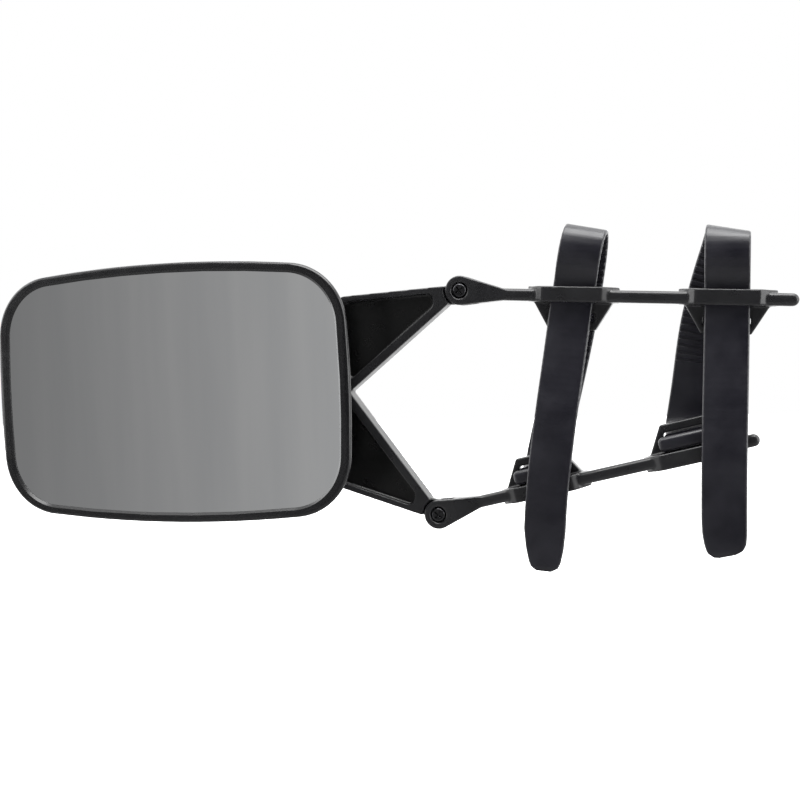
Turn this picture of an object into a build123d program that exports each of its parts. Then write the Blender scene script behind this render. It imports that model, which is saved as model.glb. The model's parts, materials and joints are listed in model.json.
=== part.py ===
"""Strap-on towing mirror: mirror head on a ball joint, fish-tail bracket, two hinged arms, two rubber straps.

Millimetres and degrees. +X runs from the mirror head out along the arms, the mirror faces -Y, +Z is up.
The origin is the middle of the inner foot pad of the upper arm, on the face that rests on the car's mirror.
"""

from build123d import *
from math import cos, radians, sin, tan
import os

# ---- driving dimensions ----
# depths along Y
FOOT_DEPTH = 8.0  # from the middle plane of the arms to the back of the foot plates
PAD_THICK = 2.5
ARM_Y = -FOOT_DEPTH - PAD_THICK  # middle plane of arms and bracket
HEAD_DEPTH = 36.0  # from the glass face to the middle plane of the arms
GLASS_Y = ARM_Y - HEAD_DEPTH
BALL_DEPTH = 16.0  # from the glass face to the middle of the ball
BALL_Y = GLASS_Y + BALL_DEPTH

# how the pieces stand at rest, as angles from +X about the view from the front
UPPER_ANGLE = -3.75
LOWER_ANGLE = 12.8
BRACKET_ANGLE = -7.4

# arms
ARM_LENGTH = 159.0  # pivot to tip
FEET = (55.3, 127.3)  # pivot to the middle of each foot
ROD = 6.0
ROD_ROUND = 2.1  # of its long edges
ROD_OFFSET = 1.5  # rod axis from the pivot, towards the other arm
KNUCKLE_R = 7.3
EAR_OUT = 5.0  # half thickness of the fork
EAR_IN = 2.0  # half width of its gap
GAP_END = 8.6
TAPER_START = 10.0
TAPER_END = 21.0
FOOT_HALF = 21.0
FOOT_TOP_HALF = 11.4
FOOT_REACH = 16.5  # rod axis to the free edge of the foot plate
BRIDGE_HALF = 14.3
BRIDGE_RUNOUT = 3.0
BRIDGE_IN = 3.2  # from the rod axis towards the other arm
BRIDGE_OUT = 4.4  # and away from it
BRIDGE_FRONT = -5.0  # depths from the middle plane of the arms
STRAP_GAP_FRONT = -1.8
STRAP_GAP_REAR = 2.2
STRAP_GAP_W = 23.0
STRAP_GAP_REACH = 6.4  # from the rod axis, both ways
BAR_SLOT = (8.2, 12.4)  # slot for the strap's bar, from the rod axis
BAR_SLOT_W = 21.6
PAD_W = 30.0
PAD_H = 10.8
PAD_OFFSET = 2.2  # rod axis to the middle of the pad

# hinge hardware
SCREW_R = 1.95
SCREW_HOLE_R = 2.02
SCREW_HEAD_R = 3.5
SCREW_HEAD_H = 1.7
COUNTERBORE_R = 4.1
COUNTERBORE_DEPTH = 1.9
WASHER_R = 4.4
WASHER_T = 0.8
NUT_FLATS = 7.0
NUT_T = 3.2

# bracket
PIVOT_ALONG = 51.7  # from the notch between the fins to the pivots
PIVOT_ACROSS = 56.4
HUB_BACK = 21.6  # from the notch back to the ball stud
FIN_HALF = 4.5
WEB_HALF = 1.5
FLANGE = 3.1
POCKET_R = 1.8
POCKET_TIP_R = 2.8
TONGUE_HALF = 1.8
TONGUE_R = 6.9
NECK_R = 8.2  # clear round the fork
HUB_R = 12.0
HUB_FACE = 6.5

# ball joint
BALL_R = 7.0
LINER_IN_R = 7.3
LINER_OUT_R = 8.5
SEAT_R = 8.8
STUD_NECK_R = 4.0
STUD_COLLAR_R = 6.5
STUD_SHANK_R = 3.0
STUD_HOLE_R = 3.06
STUD_NUT_FLATS = 10.0
STUD_NUT_T = 4.6
FLANGE_R = 15.5

# mirror head
HEAD_HALF_W = 99.6
HEAD_HALF_H = 66.0
LONG_SIDE_R = 705.0  # the four sides bulge on these radii
SHORT_SIDE_R = 600.0
CORNER_R = 31.6
BALL_RIGHT = 67.0  # middle of the head to the ball
LIP_IN = 4.9
LIP_SIDES = 1.1  # how much wider the lip is at the two short sides
GLASS_IN = 4.2
POCKET_IN = 3.9
LIP_FRONT = 1.5
LIP_ROUND = 1.9
LIP_CHAMFER = 1.2
BEZEL_TAPER = 2.4  # how far the bezel's side wall leans in, from its rim to its rear edge
RIM_DEPTH = 0.5  # where that lean starts
GLASS_T = 2.2
BACKING_T = 0.8
CARRIER_T = 2.0
BEZEL_DEPTH = 6.0
HOUSING_DEPTH = 24.0
WALL = 2.2
SHELL_IN = BEZEL_TAPER + 0.5  # from the head's outline to the foot of the rear shell
DRAFT = 30.0
DOME_R = 900.0
DOME_RIGHT = 34.0  # middle of the head to the highest point of the dome

# straps
STRAP_W = 20.5
STRAP_T = 2.6
BAR_LENGTH = 27.0
BAR_H = 7.0
BAR_RISE = -0.9  # middle of the bar from the near edge of its slot
BAR_DEPTHS = (-3.6, 1.9)

os.makedirs("parts", exist_ok=True)


# ---- places ----
def step(spot, angle, along, across):
    """The (x, z) spot reached by going `along` a direction and `across` it, upwards."""
    a = radians(angle)
    return (
        spot[0] + along * cos(a) - across * sin(a),
        spot[1] + along * sin(a) + across * cos(a),
    )


def front_plane(spot, angle, y):
    """Sketch plane seen from the front: local x along the angle, local y up, normal towards -Y."""
    a = radians(angle)
    return Plane(origin=(spot[0], y, spot[1]), x_dir=(cos(a), 0, sin(a)), z_dir=(0, -1, 0))


def plan_plane(spot, angle, lift):
    """Sketch plane seen from above: local x along the angle, local y is Y, normal upwards."""
    a = radians(angle)
    x, z = step(spot, angle, 0, lift)
    return Plane(origin=(x, 0, z), x_dir=(cos(a), 0, sin(a)), z_dir=(-sin(a), 0, cos(a)))


def turning_plane(spot, y):
    """Half-section plane for a body of revolution about the Y line through a spot: local y is Y."""
    return Plane(origin=(spot[0], y, spot[1]), x_dir=(1, 0, 0), z_dir=(0, 0, 1))


UPPER_PIVOT = step((0, 0), UPPER_ANGLE, -FEET[0], PAD_OFFSET + ROD_OFFSET)
NOTCH = step(UPPER_PIVOT, BRACKET_ANGLE, -PIVOT_ALONG, -PIVOT_ACROSS)
LOWER_PIVOT = step(NOTCH, BRACKET_ANGLE, PIVOT_ALONG, -PIVOT_ACROSS)
BALL = step(NOTCH, BRACKET_ANGLE, -HUB_BACK, 0)
HEAD = (BALL[0] - BALL_RIGHT, BALL[1])
ARMS = {
    "upper": (UPPER_PIVOT, UPPER_ANGLE, 1),
    "lower": (LOWER_PIVOT, LOWER_ANGLE, -1),
}


def save(part, label):
    part.label = label
    export_step(part, f"parts/{label}.step")


# ---- mirror head ----
def head_plane(depth):
    """Plane of the head at a depth behind the glass face, with its normal to the rear."""
    return Plane(origin=(HEAD[0], GLASS_Y + depth, HEAD[1]), x_dir=(-1, 0, 0), z_dir=(0, 1, 0))


def head_outline(inset, narrower=0.0):
    """The head's outline, where four large circles overlap, with its four corners rounded."""
    half_w = HEAD_HALF_W - narrower
    with BuildSketch() as outline:
        with Locations((0, HEAD_HALF_H - LONG_SIDE_R)):
            Circle(LONG_SIDE_R - inset)
        with Locations((0, LONG_SIDE_R - HEAD_HALF_H)):
            Circle(LONG_SIDE_R - inset, mode=Mode.INTERSECT)
        with Locations((half_w - SHORT_SIDE_R, 0)):
            Circle(SHORT_SIDE_R - inset, mode=Mode.INTERSECT)
        with Locations((SHORT_SIDE_R - half_w, 0)):
            Circle(SHORT_SIDE_R - inset, mode=Mode.INTERSECT)
        fillet(vertices(), CORNER_R - inset)
    return outline.sketch


def head_plate(front, thick, inset, narrower=0.0):
    """A plate of the head's outline."""
    with BuildPart() as plate:
        with BuildSketch(head_plane(front)):
            add(head_outline(inset, narrower))
        extrude(amount=thick)
    return plate.part


def shell_form(inset, depth, edge_r):
    """The solid form of the rear shell: drafted walls under a shallow dome."""
    dome_centre = (HEAD[0] + DOME_RIGHT, GLASS_Y + depth - DOME_R, HEAD[1])
    with BuildPart() as dome:
        with Locations(dome_centre):
            Sphere(DOME_R)
    top = depth + 1
    with BuildPart() as form:
        with BuildSketch(head_plane(BEZEL_DEPTH)):
            add(head_outline(inset))
        with BuildSketch(head_plane(top)):
            add(head_outline(inset + (top - BEZEL_DEPTH) * tan(radians(DRAFT))))
        loft(ruled=True)
        add(dome.part, mode=Mode.INTERSECT)
        rear_edges = faces().sort_by(Axis.Y)[-1].edges()
        fillet(rear_edges, edge_r)
    return form.part


HOUSING_SCREWS = [(76, 40), (-75, 40), (76, -40), (-75, -40)]
POST_R = 4.2
POST_LENGTH = 4.0
HOUSING_SCREW_R = 1.4
HOUSING_SEAT_DEPTH = 11.0  # depth of the plane the screw heads sit on
RETAINER_SCREWS = 3
RETAINER_SCREW_CIRCLE = 13.2
RETAINER_SCREW_R = 1.2
TAPPED = 0.04  # radial room of a screw where it bites
CLEAR = 0.1  # and where it passes through
SOCKET_FLANGE = (10.5, 16.5)
RETAINER_FLANGE = (16.5, 19.0)
COLLAR_R = 10.4
COLLAR_END = 25.0
BOSS_R = 16.5
BOSS_FACE = 24.4


def head_spot(right, up):
    return (HEAD[0] + right, HEAD[1] + up)


def rod_between(spot, front, rear, radius, hole=0.0):
    """A round bar or tube along Y, from one depth behind the glass to another."""
    with BuildPart() as bar:
        with BuildSketch(front_plane(spot, 0, GLASS_Y + rear)):
            Circle(radius)
            if hole:
                Circle(hole, mode=Mode.SUBTRACT)
        extrude(amount=rear - front)
    return bar.part


def mirror_glass():
    with BuildPart() as glass:
        add(head_plate(0, GLASS_T, GLASS_IN))
        chamfer(faces().sort_by(Axis.Y)[0].edges(), 0.4)
    save(glass.part, "mirror_glass")


def glass_backing_pad():
    save(head_plate(GLASS_T, BACKING_T, GLASS_IN + 3), "glass_backing_pad")


def glass_carrier():
    front = GLASS_T + BACKING_T
    rear = front + CARRIER_T
    with BuildPart() as carrier:
        add(head_plate(front, CARRIER_T, POCKET_IN + 0.2))
        for right, up in HOUSING_SCREWS:
            spot = head_spot(right, up)
            add(rod_between(spot, rear, rear + POST_LENGTH, POST_R))
        for right, up in HOUSING_SCREWS:
            hole = rod_between(head_spot(right, up), front + 0.4, rear + POST_LENGTH, HOUSING_SCREW_R + TAPPED)
            add(hole, mode=Mode.SUBTRACT)
    save(carrier.part, "glass_carrier")


def front_bezel():
    with BuildPart() as bezel:
        add(head_plate(-LIP_FRONT, LIP_FRONT + RIM_DEPTH, 0))
        with BuildSketch(head_plane(RIM_DEPTH)):
            add(head_outline(0))
        with BuildSketch(head_plane(BEZEL_DEPTH)):
            add(head_outline(BEZEL_TAPER))
        loft(ruled=True)
        fillet(faces().sort_by(Axis.Y)[0].edges(), LIP_ROUND)
        add(head_plate(-LIP_FRONT, BEZEL_DEPTH + LIP_FRONT, LIP_IN, LIP_SIDES), mode=Mode.SUBTRACT)
        chamfer(faces().sort_by(Axis.Y)[0].inner_wires()[0].edges(), LIP_CHAMFER)
        add(head_plate(0, BEZEL_DEPTH, POCKET_IN), mode=Mode.SUBTRACT)
    save(bezel.part, "front_bezel")


def rear_housing():
    tube_front = GLASS_T + BACKING_T + CARRIER_T + POST_LENGTH
    with BuildPart() as tubes:
        for right, up in HOUSING_SCREWS:
            add(rod_between(head_spot(right, up), tube_front, HOUSING_DEPTH, POST_R + 1.2))
        add(shell_form(SHELL_IN, HOUSING_DEPTH, 6), mode=Mode.INTERSECT)
    with BuildPart() as housing:
        add(shell_form(SHELL_IN, HOUSING_DEPTH, 6))
        add(shell_form(SHELL_IN + WALL, HOUSING_DEPTH - WALL, 4), mode=Mode.SUBTRACT)
        add(rod_between(BALL, RETAINER_FLANGE[1], BOSS_FACE, BOSS_R))
        add(rod_between(BALL, RETAINER_FLANGE[1] - 1, BOSS_FACE + 2, COLLAR_R + 0.2), mode=Mode.SUBTRACT)
        add(tubes.part)
        for right, up in HOUSING_SCREWS:
            spot = head_spot(right, up)
            add(rod_between(spot, HOUSING_SEAT_DEPTH, HOUSING_DEPTH, POST_R), mode=Mode.SUBTRACT)
            add(rod_between(spot, BEZEL_DEPTH, HOUSING_DEPTH, HOUSING_SCREW_R + CLEAR), mode=Mode.SUBTRACT)
        for spot in retainer_screw_spots():
            hole = rod_between(spot, RETAINER_FLANGE[0], BOSS_FACE + 1, RETAINER_SCREW_R + CLEAR)
            add(hole, mode=Mode.SUBTRACT)
    save(housing.part, "rear_housing")


def retainer_screw_spots():
    turn = 360 / RETAINER_SCREWS
    return [step(BALL, 90 + i * turn, RETAINER_SCREW_CIRCLE, 0) for i in range(RETAINER_SCREWS)]


def tapping_screw(spot, seat, tip, shank_r, head_r, head_h):
    """A pan-head screw from the rear: head behind the seat depth, shank forward to the tip depth."""
    with BuildPart() as screw:
        with BuildSketch(turning_plane(spot, GLASS_Y)):
            with BuildLine():
                Polyline(
                    (0, tip),
                    (shank_r * 0.4, tip),
                    (shank_r, tip + shank_r),
                    (shank_r, seat),
                    (head_r, seat),
                    (head_r, seat + head_h),
                    (0, seat + head_h),
                    close=True,
                )
            make_face()
        revolve(axis=Axis((spot[0], 0, spot[1]), (0, 1, 0)))
        fillet(edges().filter_by(GeomType.CIRCLE).sort_by(Axis.Y)[-1], head_h * 0.6)
        with BuildSketch(front_plane(spot, 0, GLASS_Y + seat + head_h)):
            Rectangle(head_r * 1.1, head_r * 0.24)
            Rectangle(head_r * 0.24, head_r * 1.1)
        extrude(amount=head_h * 0.6, mode=Mode.SUBTRACT)
    return screw.part


def housing_screws():
    tip = GLASS_T + BACKING_T + 0.6
    with BuildPart() as screws:
        for right, up in HOUSING_SCREWS:
            add(tapping_screw(head_spot(right, up), HOUSING_SEAT_DEPTH, tip, HOUSING_SCREW_R, 2.8, 1.8))
    save(screws.part, "housing_screws")


def retainer_screws():
    with BuildPart() as screws:
        for spot in retainer_screw_spots():
            add(tapping_screw(spot, BOSS_FACE, SOCKET_FLANGE[0] + 1, RETAINER_SCREW_R, 2.3, 1.6))
    save(screws.part, "retainer_screws")


def ball_socket():
    cup_front = BALL_DEPTH - SEAT_R - 1.6
    with BuildPart() as socket:
        add(rod_between(BALL, cup_front, SOCKET_FLANGE[1], SEAT_R + 1.8))
        add(rod_between(BALL, SOCKET_FLANGE[0], SOCKET_FLANGE[1], FLANGE_R))
        with Locations((BALL[0], BALL_Y, BALL[1])):
            Sphere(SEAT_R, mode=Mode.SUBTRACT)
        for spot in retainer_screw_spots():
            hole = rod_between(spot, SOCKET_FLANGE[0] + 0.6, SOCKET_FLANGE[1], RETAINER_SCREW_R + TAPPED)
            add(hole, mode=Mode.SUBTRACT)
    save(socket.part, "ball_socket")


def socket_retainer():
    with BuildPart() as retainer:
        add(rod_between(BALL, *RETAINER_FLANGE, FLANGE_R))
        add(rod_between(BALL, RETAINER_FLANGE[0], COLLAR_END, COLLAR_R))
        with Locations((BALL[0], BALL_Y, BALL[1])):
            Sphere(SEAT_R, mode=Mode.SUBTRACT)
        add(rod_between(BALL, BALL_DEPTH, COLLAR_END + 1, 6.4), mode=Mode.SUBTRACT)
        chamfer(faces().sort_by(Axis.Y)[-1].edges().sort_by(SortBy.RADIUS)[0], 0.6)
        for spot in retainer_screw_spots():
            add(rod_between(spot, *RETAINER_FLANGE, RETAINER_SCREW_R + CLEAR), mode=Mode.SUBTRACT)
    save(retainer.part, "socket_retainer")


def ball_liner():
    with BuildPart() as liner:
        with Locations((BALL[0], BALL_Y, BALL[1])):
            Sphere(LINER_OUT_R)
            Sphere(LINER_IN_R, mode=Mode.SUBTRACT)
        add(rod_between(BALL, BALL_DEPTH + 4.2, BALL_DEPTH + 12, 12), mode=Mode.SUBTRACT)
        add(rod_between(BALL, 0, BALL_DEPTH, 3), mode=Mode.SUBTRACT)
    save(liner.part, "ball_liner")


# ---- ball stud ----
STUD_END = FIN_HALF + 1.0 + STUD_NUT_T + 0.3


def ball_stud():
    collar_front = -HUB_FACE - 2.0
    with BuildPart() as stud:
        with Locations((BALL[0], BALL_Y, BALL[1])):
            Sphere(BALL_R)
        with BuildSketch(turning_plane(BALL, ARM_Y)):
            with BuildLine():
                Polyline(
                    (0, BALL_Y - ARM_Y),
                    (STUD_NECK_R, BALL_Y - ARM_Y),
                    (STUD_NECK_R, collar_front - 1.5),
                    (STUD_COLLAR_R, collar_front),
                    (STUD_COLLAR_R, -HUB_FACE),
                    (STUD_SHANK_R, -HUB_FACE),
                    (STUD_SHANK_R, STUD_END - 0.6),
                    (STUD_SHANK_R - 0.6, STUD_END),
                    (0, STUD_END),
                    close=True,
                )
            make_face()
        revolve(axis=Axis((BALL[0], 0, BALL[1]), (0, 1, 0)))
    save(stud.part, "ball_stud")


def washer(spot, angle, front, thick, outer, hole, label):
    """A flat washer whose front face is at a depth behind the middle plane of the arms."""
    with BuildPart() as ring:
        with BuildSketch(front_plane(spot, angle, ARM_Y + front + thick)):
            Circle(outer)
            Circle(hole, mode=Mode.SUBTRACT)
        extrude(amount=thick)
    save(ring.part, label)


def hex_nut(spot, angle, front, thick, flats, hole, label):
    """A hexagon nut whose front face is at a depth behind the middle plane of the arms."""
    with BuildPart() as rounding:
        with Locations((spot[0], ARM_Y + front + thick / 2, spot[1])):
            Cylinder(flats * 0.56, thick, rotation=(90, 0, 0))
        chamfer(edges().filter_by(GeomType.CIRCLE), flats * 0.05)
    with BuildPart() as nut:
        with BuildSketch(front_plane(spot, angle, ARM_Y + front + thick)):
            RegularPolygon(flats / 2, 6, major_radius=False)
            Circle(hole, mode=Mode.SUBTRACT)
        extrude(amount=thick)
        add(rounding.part, mode=Mode.INTERSECT)
    save(nut.part, label)


# ---- bracket ----
def fin_corners(side):
    """Corner points of one fin, in the bracket's own frame, notch at the origin."""
    points = [(-1.1, 0), (49.4, 52.2), (50, 59.1), (-9, 48.5), (-19, 43.6), (-36, 11)]
    return [(along, side * across) for along, across in points]


def pocket_corners(side):
    """Corner points of the fin before its flanges are taken off."""
    points = [(-3.6, -0.4), (41.9, 46.0), (41, 57.5), (-8, 48.7), (-16, 43.3)]
    return [(along, side * across) for along, across in points]


def bracket():
    with BuildPart() as body:
        with BuildSketch(front_plane(NOTCH, BRACKET_ANGLE, ARM_Y + FIN_HALF)):
            for side in (1, -1):
                with BuildLine():
                    Polyline(*fin_corners(side), (-36, 0), close=True)
                make_face()
            with Locations((-HUB_BACK, 0)):
                Circle(HUB_R + 3)
        extrude(amount=2 * FIN_HALF)
        with BuildSketch(front_plane(NOTCH, BRACKET_ANGLE, ARM_Y)):
            with Locations((-HUB_BACK, 0)):
                Circle(HUB_R)
        extrude(amount=HUB_FACE)
        # recessed webs, front and back
        for side in (1, -1):
            for rear in (ARM_Y - WEB_HALF, ARM_Y + FIN_HALF):
                with BuildSketch(front_plane(NOTCH, BRACKET_ANGLE, rear)) as pocket:
                    with BuildLine():
                        Polyline(*pocket_corners(side), close=True)
                    make_face()
                    offset(amount=-FLANGE, mode=Mode.REPLACE)
                    fillet(vertices().sort_by(Axis.X)[-2:], POCKET_TIP_R)
                    fillet(vertices().sort_by(Axis.X)[:-4], POCKET_R)
                extrude(amount=FIN_HALF - WEB_HALF, mode=Mode.SUBTRACT)
        # room for the forks, then the tongues inside them
        for side in (1, -1):
            pivot = (PIVOT_ALONG, side * PIVOT_ACROSS)
            with BuildSketch(front_plane(NOTCH, BRACKET_ANGLE, ARM_Y + FIN_HALF)):
                with Locations(pivot):
                    Circle(NECK_R)
            extrude(amount=2 * FIN_HALF, mode=Mode.SUBTRACT)
            with BuildSketch(front_plane(NOTCH, BRACKET_ANGLE, ARM_Y + TONGUE_HALF)):
                with Locations(pivot):
                    Circle(TONGUE_R)
                with Locations((PIVOT_ALONG - 11, side * (PIVOT_ACROSS - 5.5))):
                    Circle(2.6)
                make_hull()
            extrude(amount=2 * TONGUE_HALF)
            with BuildSketch(front_plane(NOTCH, BRACKET_ANGLE, ARM_Y + FIN_HALF)):
                with Locations(pivot):
                    Circle(SCREW_HOLE_R)
            extrude(amount=2 * FIN_HALF, mode=Mode.SUBTRACT)
        # bore for the ball stud
        with BuildSketch(front_plane(BALL, 0, ARM_Y + FIN_HALF)):
            Circle(STUD_HOLE_R)
        extrude(amount=FIN_HALF + HUB_FACE, mode=Mode.SUBTRACT)
    save(body.part, "bracket")


# ---- arms ----
def knuckle(pivot, angle, side):
    """The fork's rounded end and its taper into the rod."""
    rod = -side * ROD_OFFSET
    half = ROD / 2
    with BuildPart() as end:
        with BuildSketch(front_plane(pivot, angle, ARM_Y + EAR_OUT)):
            Circle(KNUCKLE_R)
            with Locations((TAPER_END, rod)):
                Circle(half)
            make_hull()
        extrude(amount=2 * EAR_OUT)
        with BuildSketch(plan_plane(pivot, angle, -KNUCKLE_R - 1)):
            with BuildLine():
                Polyline(
                    (-9, ARM_Y - EAR_OUT),
                    (TAPER_START, ARM_Y - EAR_OUT),
                    (TAPER_END, ARM_Y - half),
                    (TAPER_END + half, ARM_Y - half),
                    (TAPER_END + half, ARM_Y + half),
                    (TAPER_END, ARM_Y + half),
                    (TAPER_START, ARM_Y + EAR_OUT),
                    (-9, ARM_Y + EAR_OUT),
                    close=True,
                )
            make_face()
        extrude(amount=2 * KNUCKLE_R + 2, mode=Mode.INTERSECT)
    return end.part


def round_rod(pivot, angle, rod):
    """The rod from the knuckle's taper to its round end, its long edges rounded over."""
    half = ROD / 2
    length = ARM_LENGTH - half - TAPER_END
    with BuildPart() as bar:
        with BuildSketch(front_plane(pivot, angle, ARM_Y + half)):
            with Locations((TAPER_END + length / 2, rod)):
                SlotCenterToCenter(length, ROD)
        extrude(amount=ROD)
        rims = bar.faces().sort_by(Axis.Y)
        fillet(rims[0].edges() + rims[-1].edges(), ROD_ROUND)
    return bar.part


def foot(pivot, angle, side, middle):
    """One strap buckle: the swelling of the rod and the foot plate, before the slots."""
    rod = -side * ROD_OFFSET
    low = rod - (BRIDGE_IN if side > 0 else BRIDGE_OUT)
    half = ROD / 2
    with BuildPart() as block:
        with BuildSketch(plan_plane(pivot, angle, low)):
            with BuildLine():
                Polyline(
                    (middle - BRIDGE_HALF - BRIDGE_RUNOUT, ARM_Y - half),
                    (middle - BRIDGE_HALF, ARM_Y + BRIDGE_FRONT),
                    (middle + BRIDGE_HALF, ARM_Y + BRIDGE_FRONT),
                    (middle + BRIDGE_HALF + BRIDGE_RUNOUT, ARM_Y - half),
                    (middle + FOOT_HALF + 1.5, ARM_Y + half),
                    (middle + FOOT_HALF, ARM_Y + FOOT_DEPTH),
                    (middle - FOOT_HALF, ARM_Y + FOOT_DEPTH),
                    (middle - FOOT_HALF - 1.5, ARM_Y + half),
                    close=True,
                )
            make_face()
        extrude(amount=BRIDGE_IN + BRIDGE_OUT)
        with BuildSketch(front_plane(pivot, angle, ARM_Y + FOOT_DEPTH)):
            with BuildLine():
                Polyline(
                    (middle - FOOT_HALF, rod),
                    (middle - FOOT_TOP_HALF, rod - side * FOOT_REACH),
                    (middle + FOOT_TOP_HALF, rod - side * FOOT_REACH),
                    (middle + FOOT_HALF, rod),
                    close=True,
                )
            make_face()
        extrude(amount=FOOT_DEPTH - STRAP_GAP_REAR)
    return block.part


def arm(name):
    pivot, angle, side = ARMS[name]
    rod = -side * ROD_OFFSET
    with BuildPart() as body:
        add(knuckle(pivot, angle, side))
        add(round_rod(pivot, angle, rod))
        for middle in FEET:
            add(foot(pivot, angle, side, middle))
        for middle in FEET:
            # way for the strap's front run, between the bridge and the foot plate
            with BuildSketch(plan_plane(pivot, angle, rod - STRAP_GAP_REACH)):
                with Locations((middle, ARM_Y + (STRAP_GAP_FRONT + STRAP_GAP_REAR) / 2)):
                    Rectangle(STRAP_GAP_W, STRAP_GAP_REAR - STRAP_GAP_FRONT)
            extrude(amount=2 * STRAP_GAP_REACH, mode=Mode.SUBTRACT)
            # slot that the strap's own bar hooks in front of
            slot_middle = rod - side * (BAR_SLOT[0] + BAR_SLOT[1]) / 2
            with BuildSketch(front_plane(pivot, angle, ARM_Y + FOOT_DEPTH)):
                with Locations((middle, slot_middle)):
                    RectangleRounded(BAR_SLOT_W, BAR_SLOT[1] - BAR_SLOT[0], 1.2)
            extrude(amount=FOOT_DEPTH - STRAP_GAP_REAR, mode=Mode.SUBTRACT)
        # fork gap, screw hole and the screw head's counterbore
        with BuildSketch(plan_plane(pivot, angle, -KNUCKLE_R - 1)):
            with Locations(((GAP_END - KNUCKLE_R - 2) / 2, ARM_Y)):
                Rectangle(GAP_END + KNUCKLE_R + 2, 2 * EAR_IN)
        extrude(amount=2 * KNUCKLE_R + 2, mode=Mode.SUBTRACT)
        with BuildSketch(front_plane(pivot, angle, ARM_Y + EAR_OUT)):
            Circle(SCREW_HOLE_R)
        extrude(amount=2 * EAR_OUT, mode=Mode.SUBTRACT)
        with BuildSketch(front_plane(pivot, angle, ARM_Y - EAR_OUT + COUNTERBORE_DEPTH)):
            Circle(COUNTERBORE_R)
        extrude(amount=COUNTERBORE_DEPTH, mode=Mode.SUBTRACT)
    save(body.part, f"{name}_arm")


def foot_pads(name):
    pivot, angle, side = ARMS[name]
    for middle, which in zip(FEET, ("inner", "outer")):
        across = -side * (ROD_OFFSET + PAD_OFFSET)
        with BuildPart() as pad:
            with BuildSketch(front_plane(pivot, angle, ARM_Y + FOOT_DEPTH + PAD_THICK)):
                with Locations((middle, across)):
                    RectangleRounded(PAD_W, PAD_H, 2.0)
            extrude(amount=PAD_THICK)
        save(pad.part, f"{name}_{which}_pad")


def pivot_screw(name):
    """Pan-head hinge screw from the front, cross recess in its head."""
    pivot, angle, side = ARMS[name]
    seat = -EAR_OUT + COUNTERBORE_DEPTH
    top = seat - SCREW_HEAD_H
    end = EAR_OUT + WASHER_T + NUT_T + 0.6
    with BuildPart() as screw:
        with BuildSketch(turning_plane(pivot, ARM_Y)):
            with BuildLine():
                Polyline(
                    (0, end),
                    (SCREW_R - 0.5, end),
                    (SCREW_R, end - 0.5),
                    (SCREW_R, seat),
                    (SCREW_HEAD_R, seat),
                    (SCREW_HEAD_R, top),
                    (0, top),
                    close=True,
                )
            make_face()
        revolve(axis=Axis((pivot[0], 0, pivot[1]), (0, 1, 0)))
        fillet(edges().filter_by(GeomType.CIRCLE).sort_by(Axis.Y)[0], SCREW_HEAD_H * 0.6)
        with BuildSketch(front_plane(pivot, angle + 38, ARM_Y + seat - 0.4)):
            Rectangle(4.4, 0.9)
            Rectangle(0.9, 4.4)
        extrude(amount=SCREW_HEAD_H, mode=Mode.SUBTRACT)
    save(screw.part, f"{name}_pivot_screw")


# ---- straps ----
# Side views of a strap's middle line: (height, depth behind the middle plane of the arms).
# Heights are above the lower foot's bar for the rear run, and above the upper rod for the rest.
REAR_START = [(2.1, 0.6), (2.1, 5.0), (2.3, 8.4), (5.0, 11.8), (10.5, 13.9), (18.0, 14.4)]
LOOP = [
    (-6, 14.4),
    (14, 14.4),
    (23, 13.4),
    (28.6, 10.8),
    (31.4, 7.0),
    (31.6, 2.6),
    (29.0, -1.4),
    (23.5, -3.6),
    (15.0, -2.8),
    (7.5, 0.2),
    (-6.5, 0.2),
]
TAIL = [(-16, -0.8), (-34, -3.2), (-54, -6.2), (-70, -7.4), (-90, -7.6)]


def between(value, low, high, at_low, at_high):
    """Value on the straight line through two points."""
    return at_low + (at_high - at_low) * (value - low) / (high - low)


def strap_stations(foot_index, rear_lean, foot_shift, rear_shift, top_lean, top_shift, front_lean, tail_end):
    """Stations (x, y, z, lean) of a strap's middle line, from its bar over the top to its free end."""
    upper_pivot, upper_angle, _ = ARMS["upper"]
    lower_pivot, lower_angle, _ = ARMS["lower"]
    top = step(upper_pivot, upper_angle, FEET[foot_index], -ROD_OFFSET)
    bar = step(lower_pivot, lower_angle, FEET[foot_index], ROD_OFFSET + BAR_SLOT[0])
    crest = top[1] + LOOP[5][0]
    stations = []
    for height, depth in REAR_START:
        z = bar[1] + height
        x = between(z, bar[1], top[1], bar[0] + foot_shift, top[0] + rear_shift)
        if depth < FOOT_DEPTH + 1:
            across = ROD_OFFSET + BAR_SLOT[0] + height
            x, z = step(lower_pivot, lower_angle, FEET[foot_index], across)
        lean = between(max(height, 2.3), 2.3, REAR_START[-1][0], -lower_angle, rear_lean)
        stations.append((x, ARM_Y + depth, z, lean))
    for height, depth in LOOP:
        z = top[1] + height
        if depth > 9:
            x = between(z, bar[1], top[1], bar[0] + foot_shift, top[0] + rear_shift)
            if height > 0:
                x = between(z, top[1], crest, top[0] + rear_shift, top[0] + top_shift)
            lean = between(height, 0, LOOP[5][0], rear_lean, top_lean)
        else:
            x = between(z, top[1], crest, top[0], top[0] + top_shift)
            lean = between(height, 0, LOOP[5][0], front_lean, top_lean)
            if height < 0:
                x = top[0] + height * sin(radians(front_lean))
                lean = front_lean
        stations.append((x, ARM_Y + depth, z, lean))
    for height, depth in TAIL + [(tail_end, -7.6)]:
        x = top[0] + height * sin(radians(front_lean))
        stations.append((x, ARM_Y + depth, top[1] + height, front_lean))
    return stations


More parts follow.
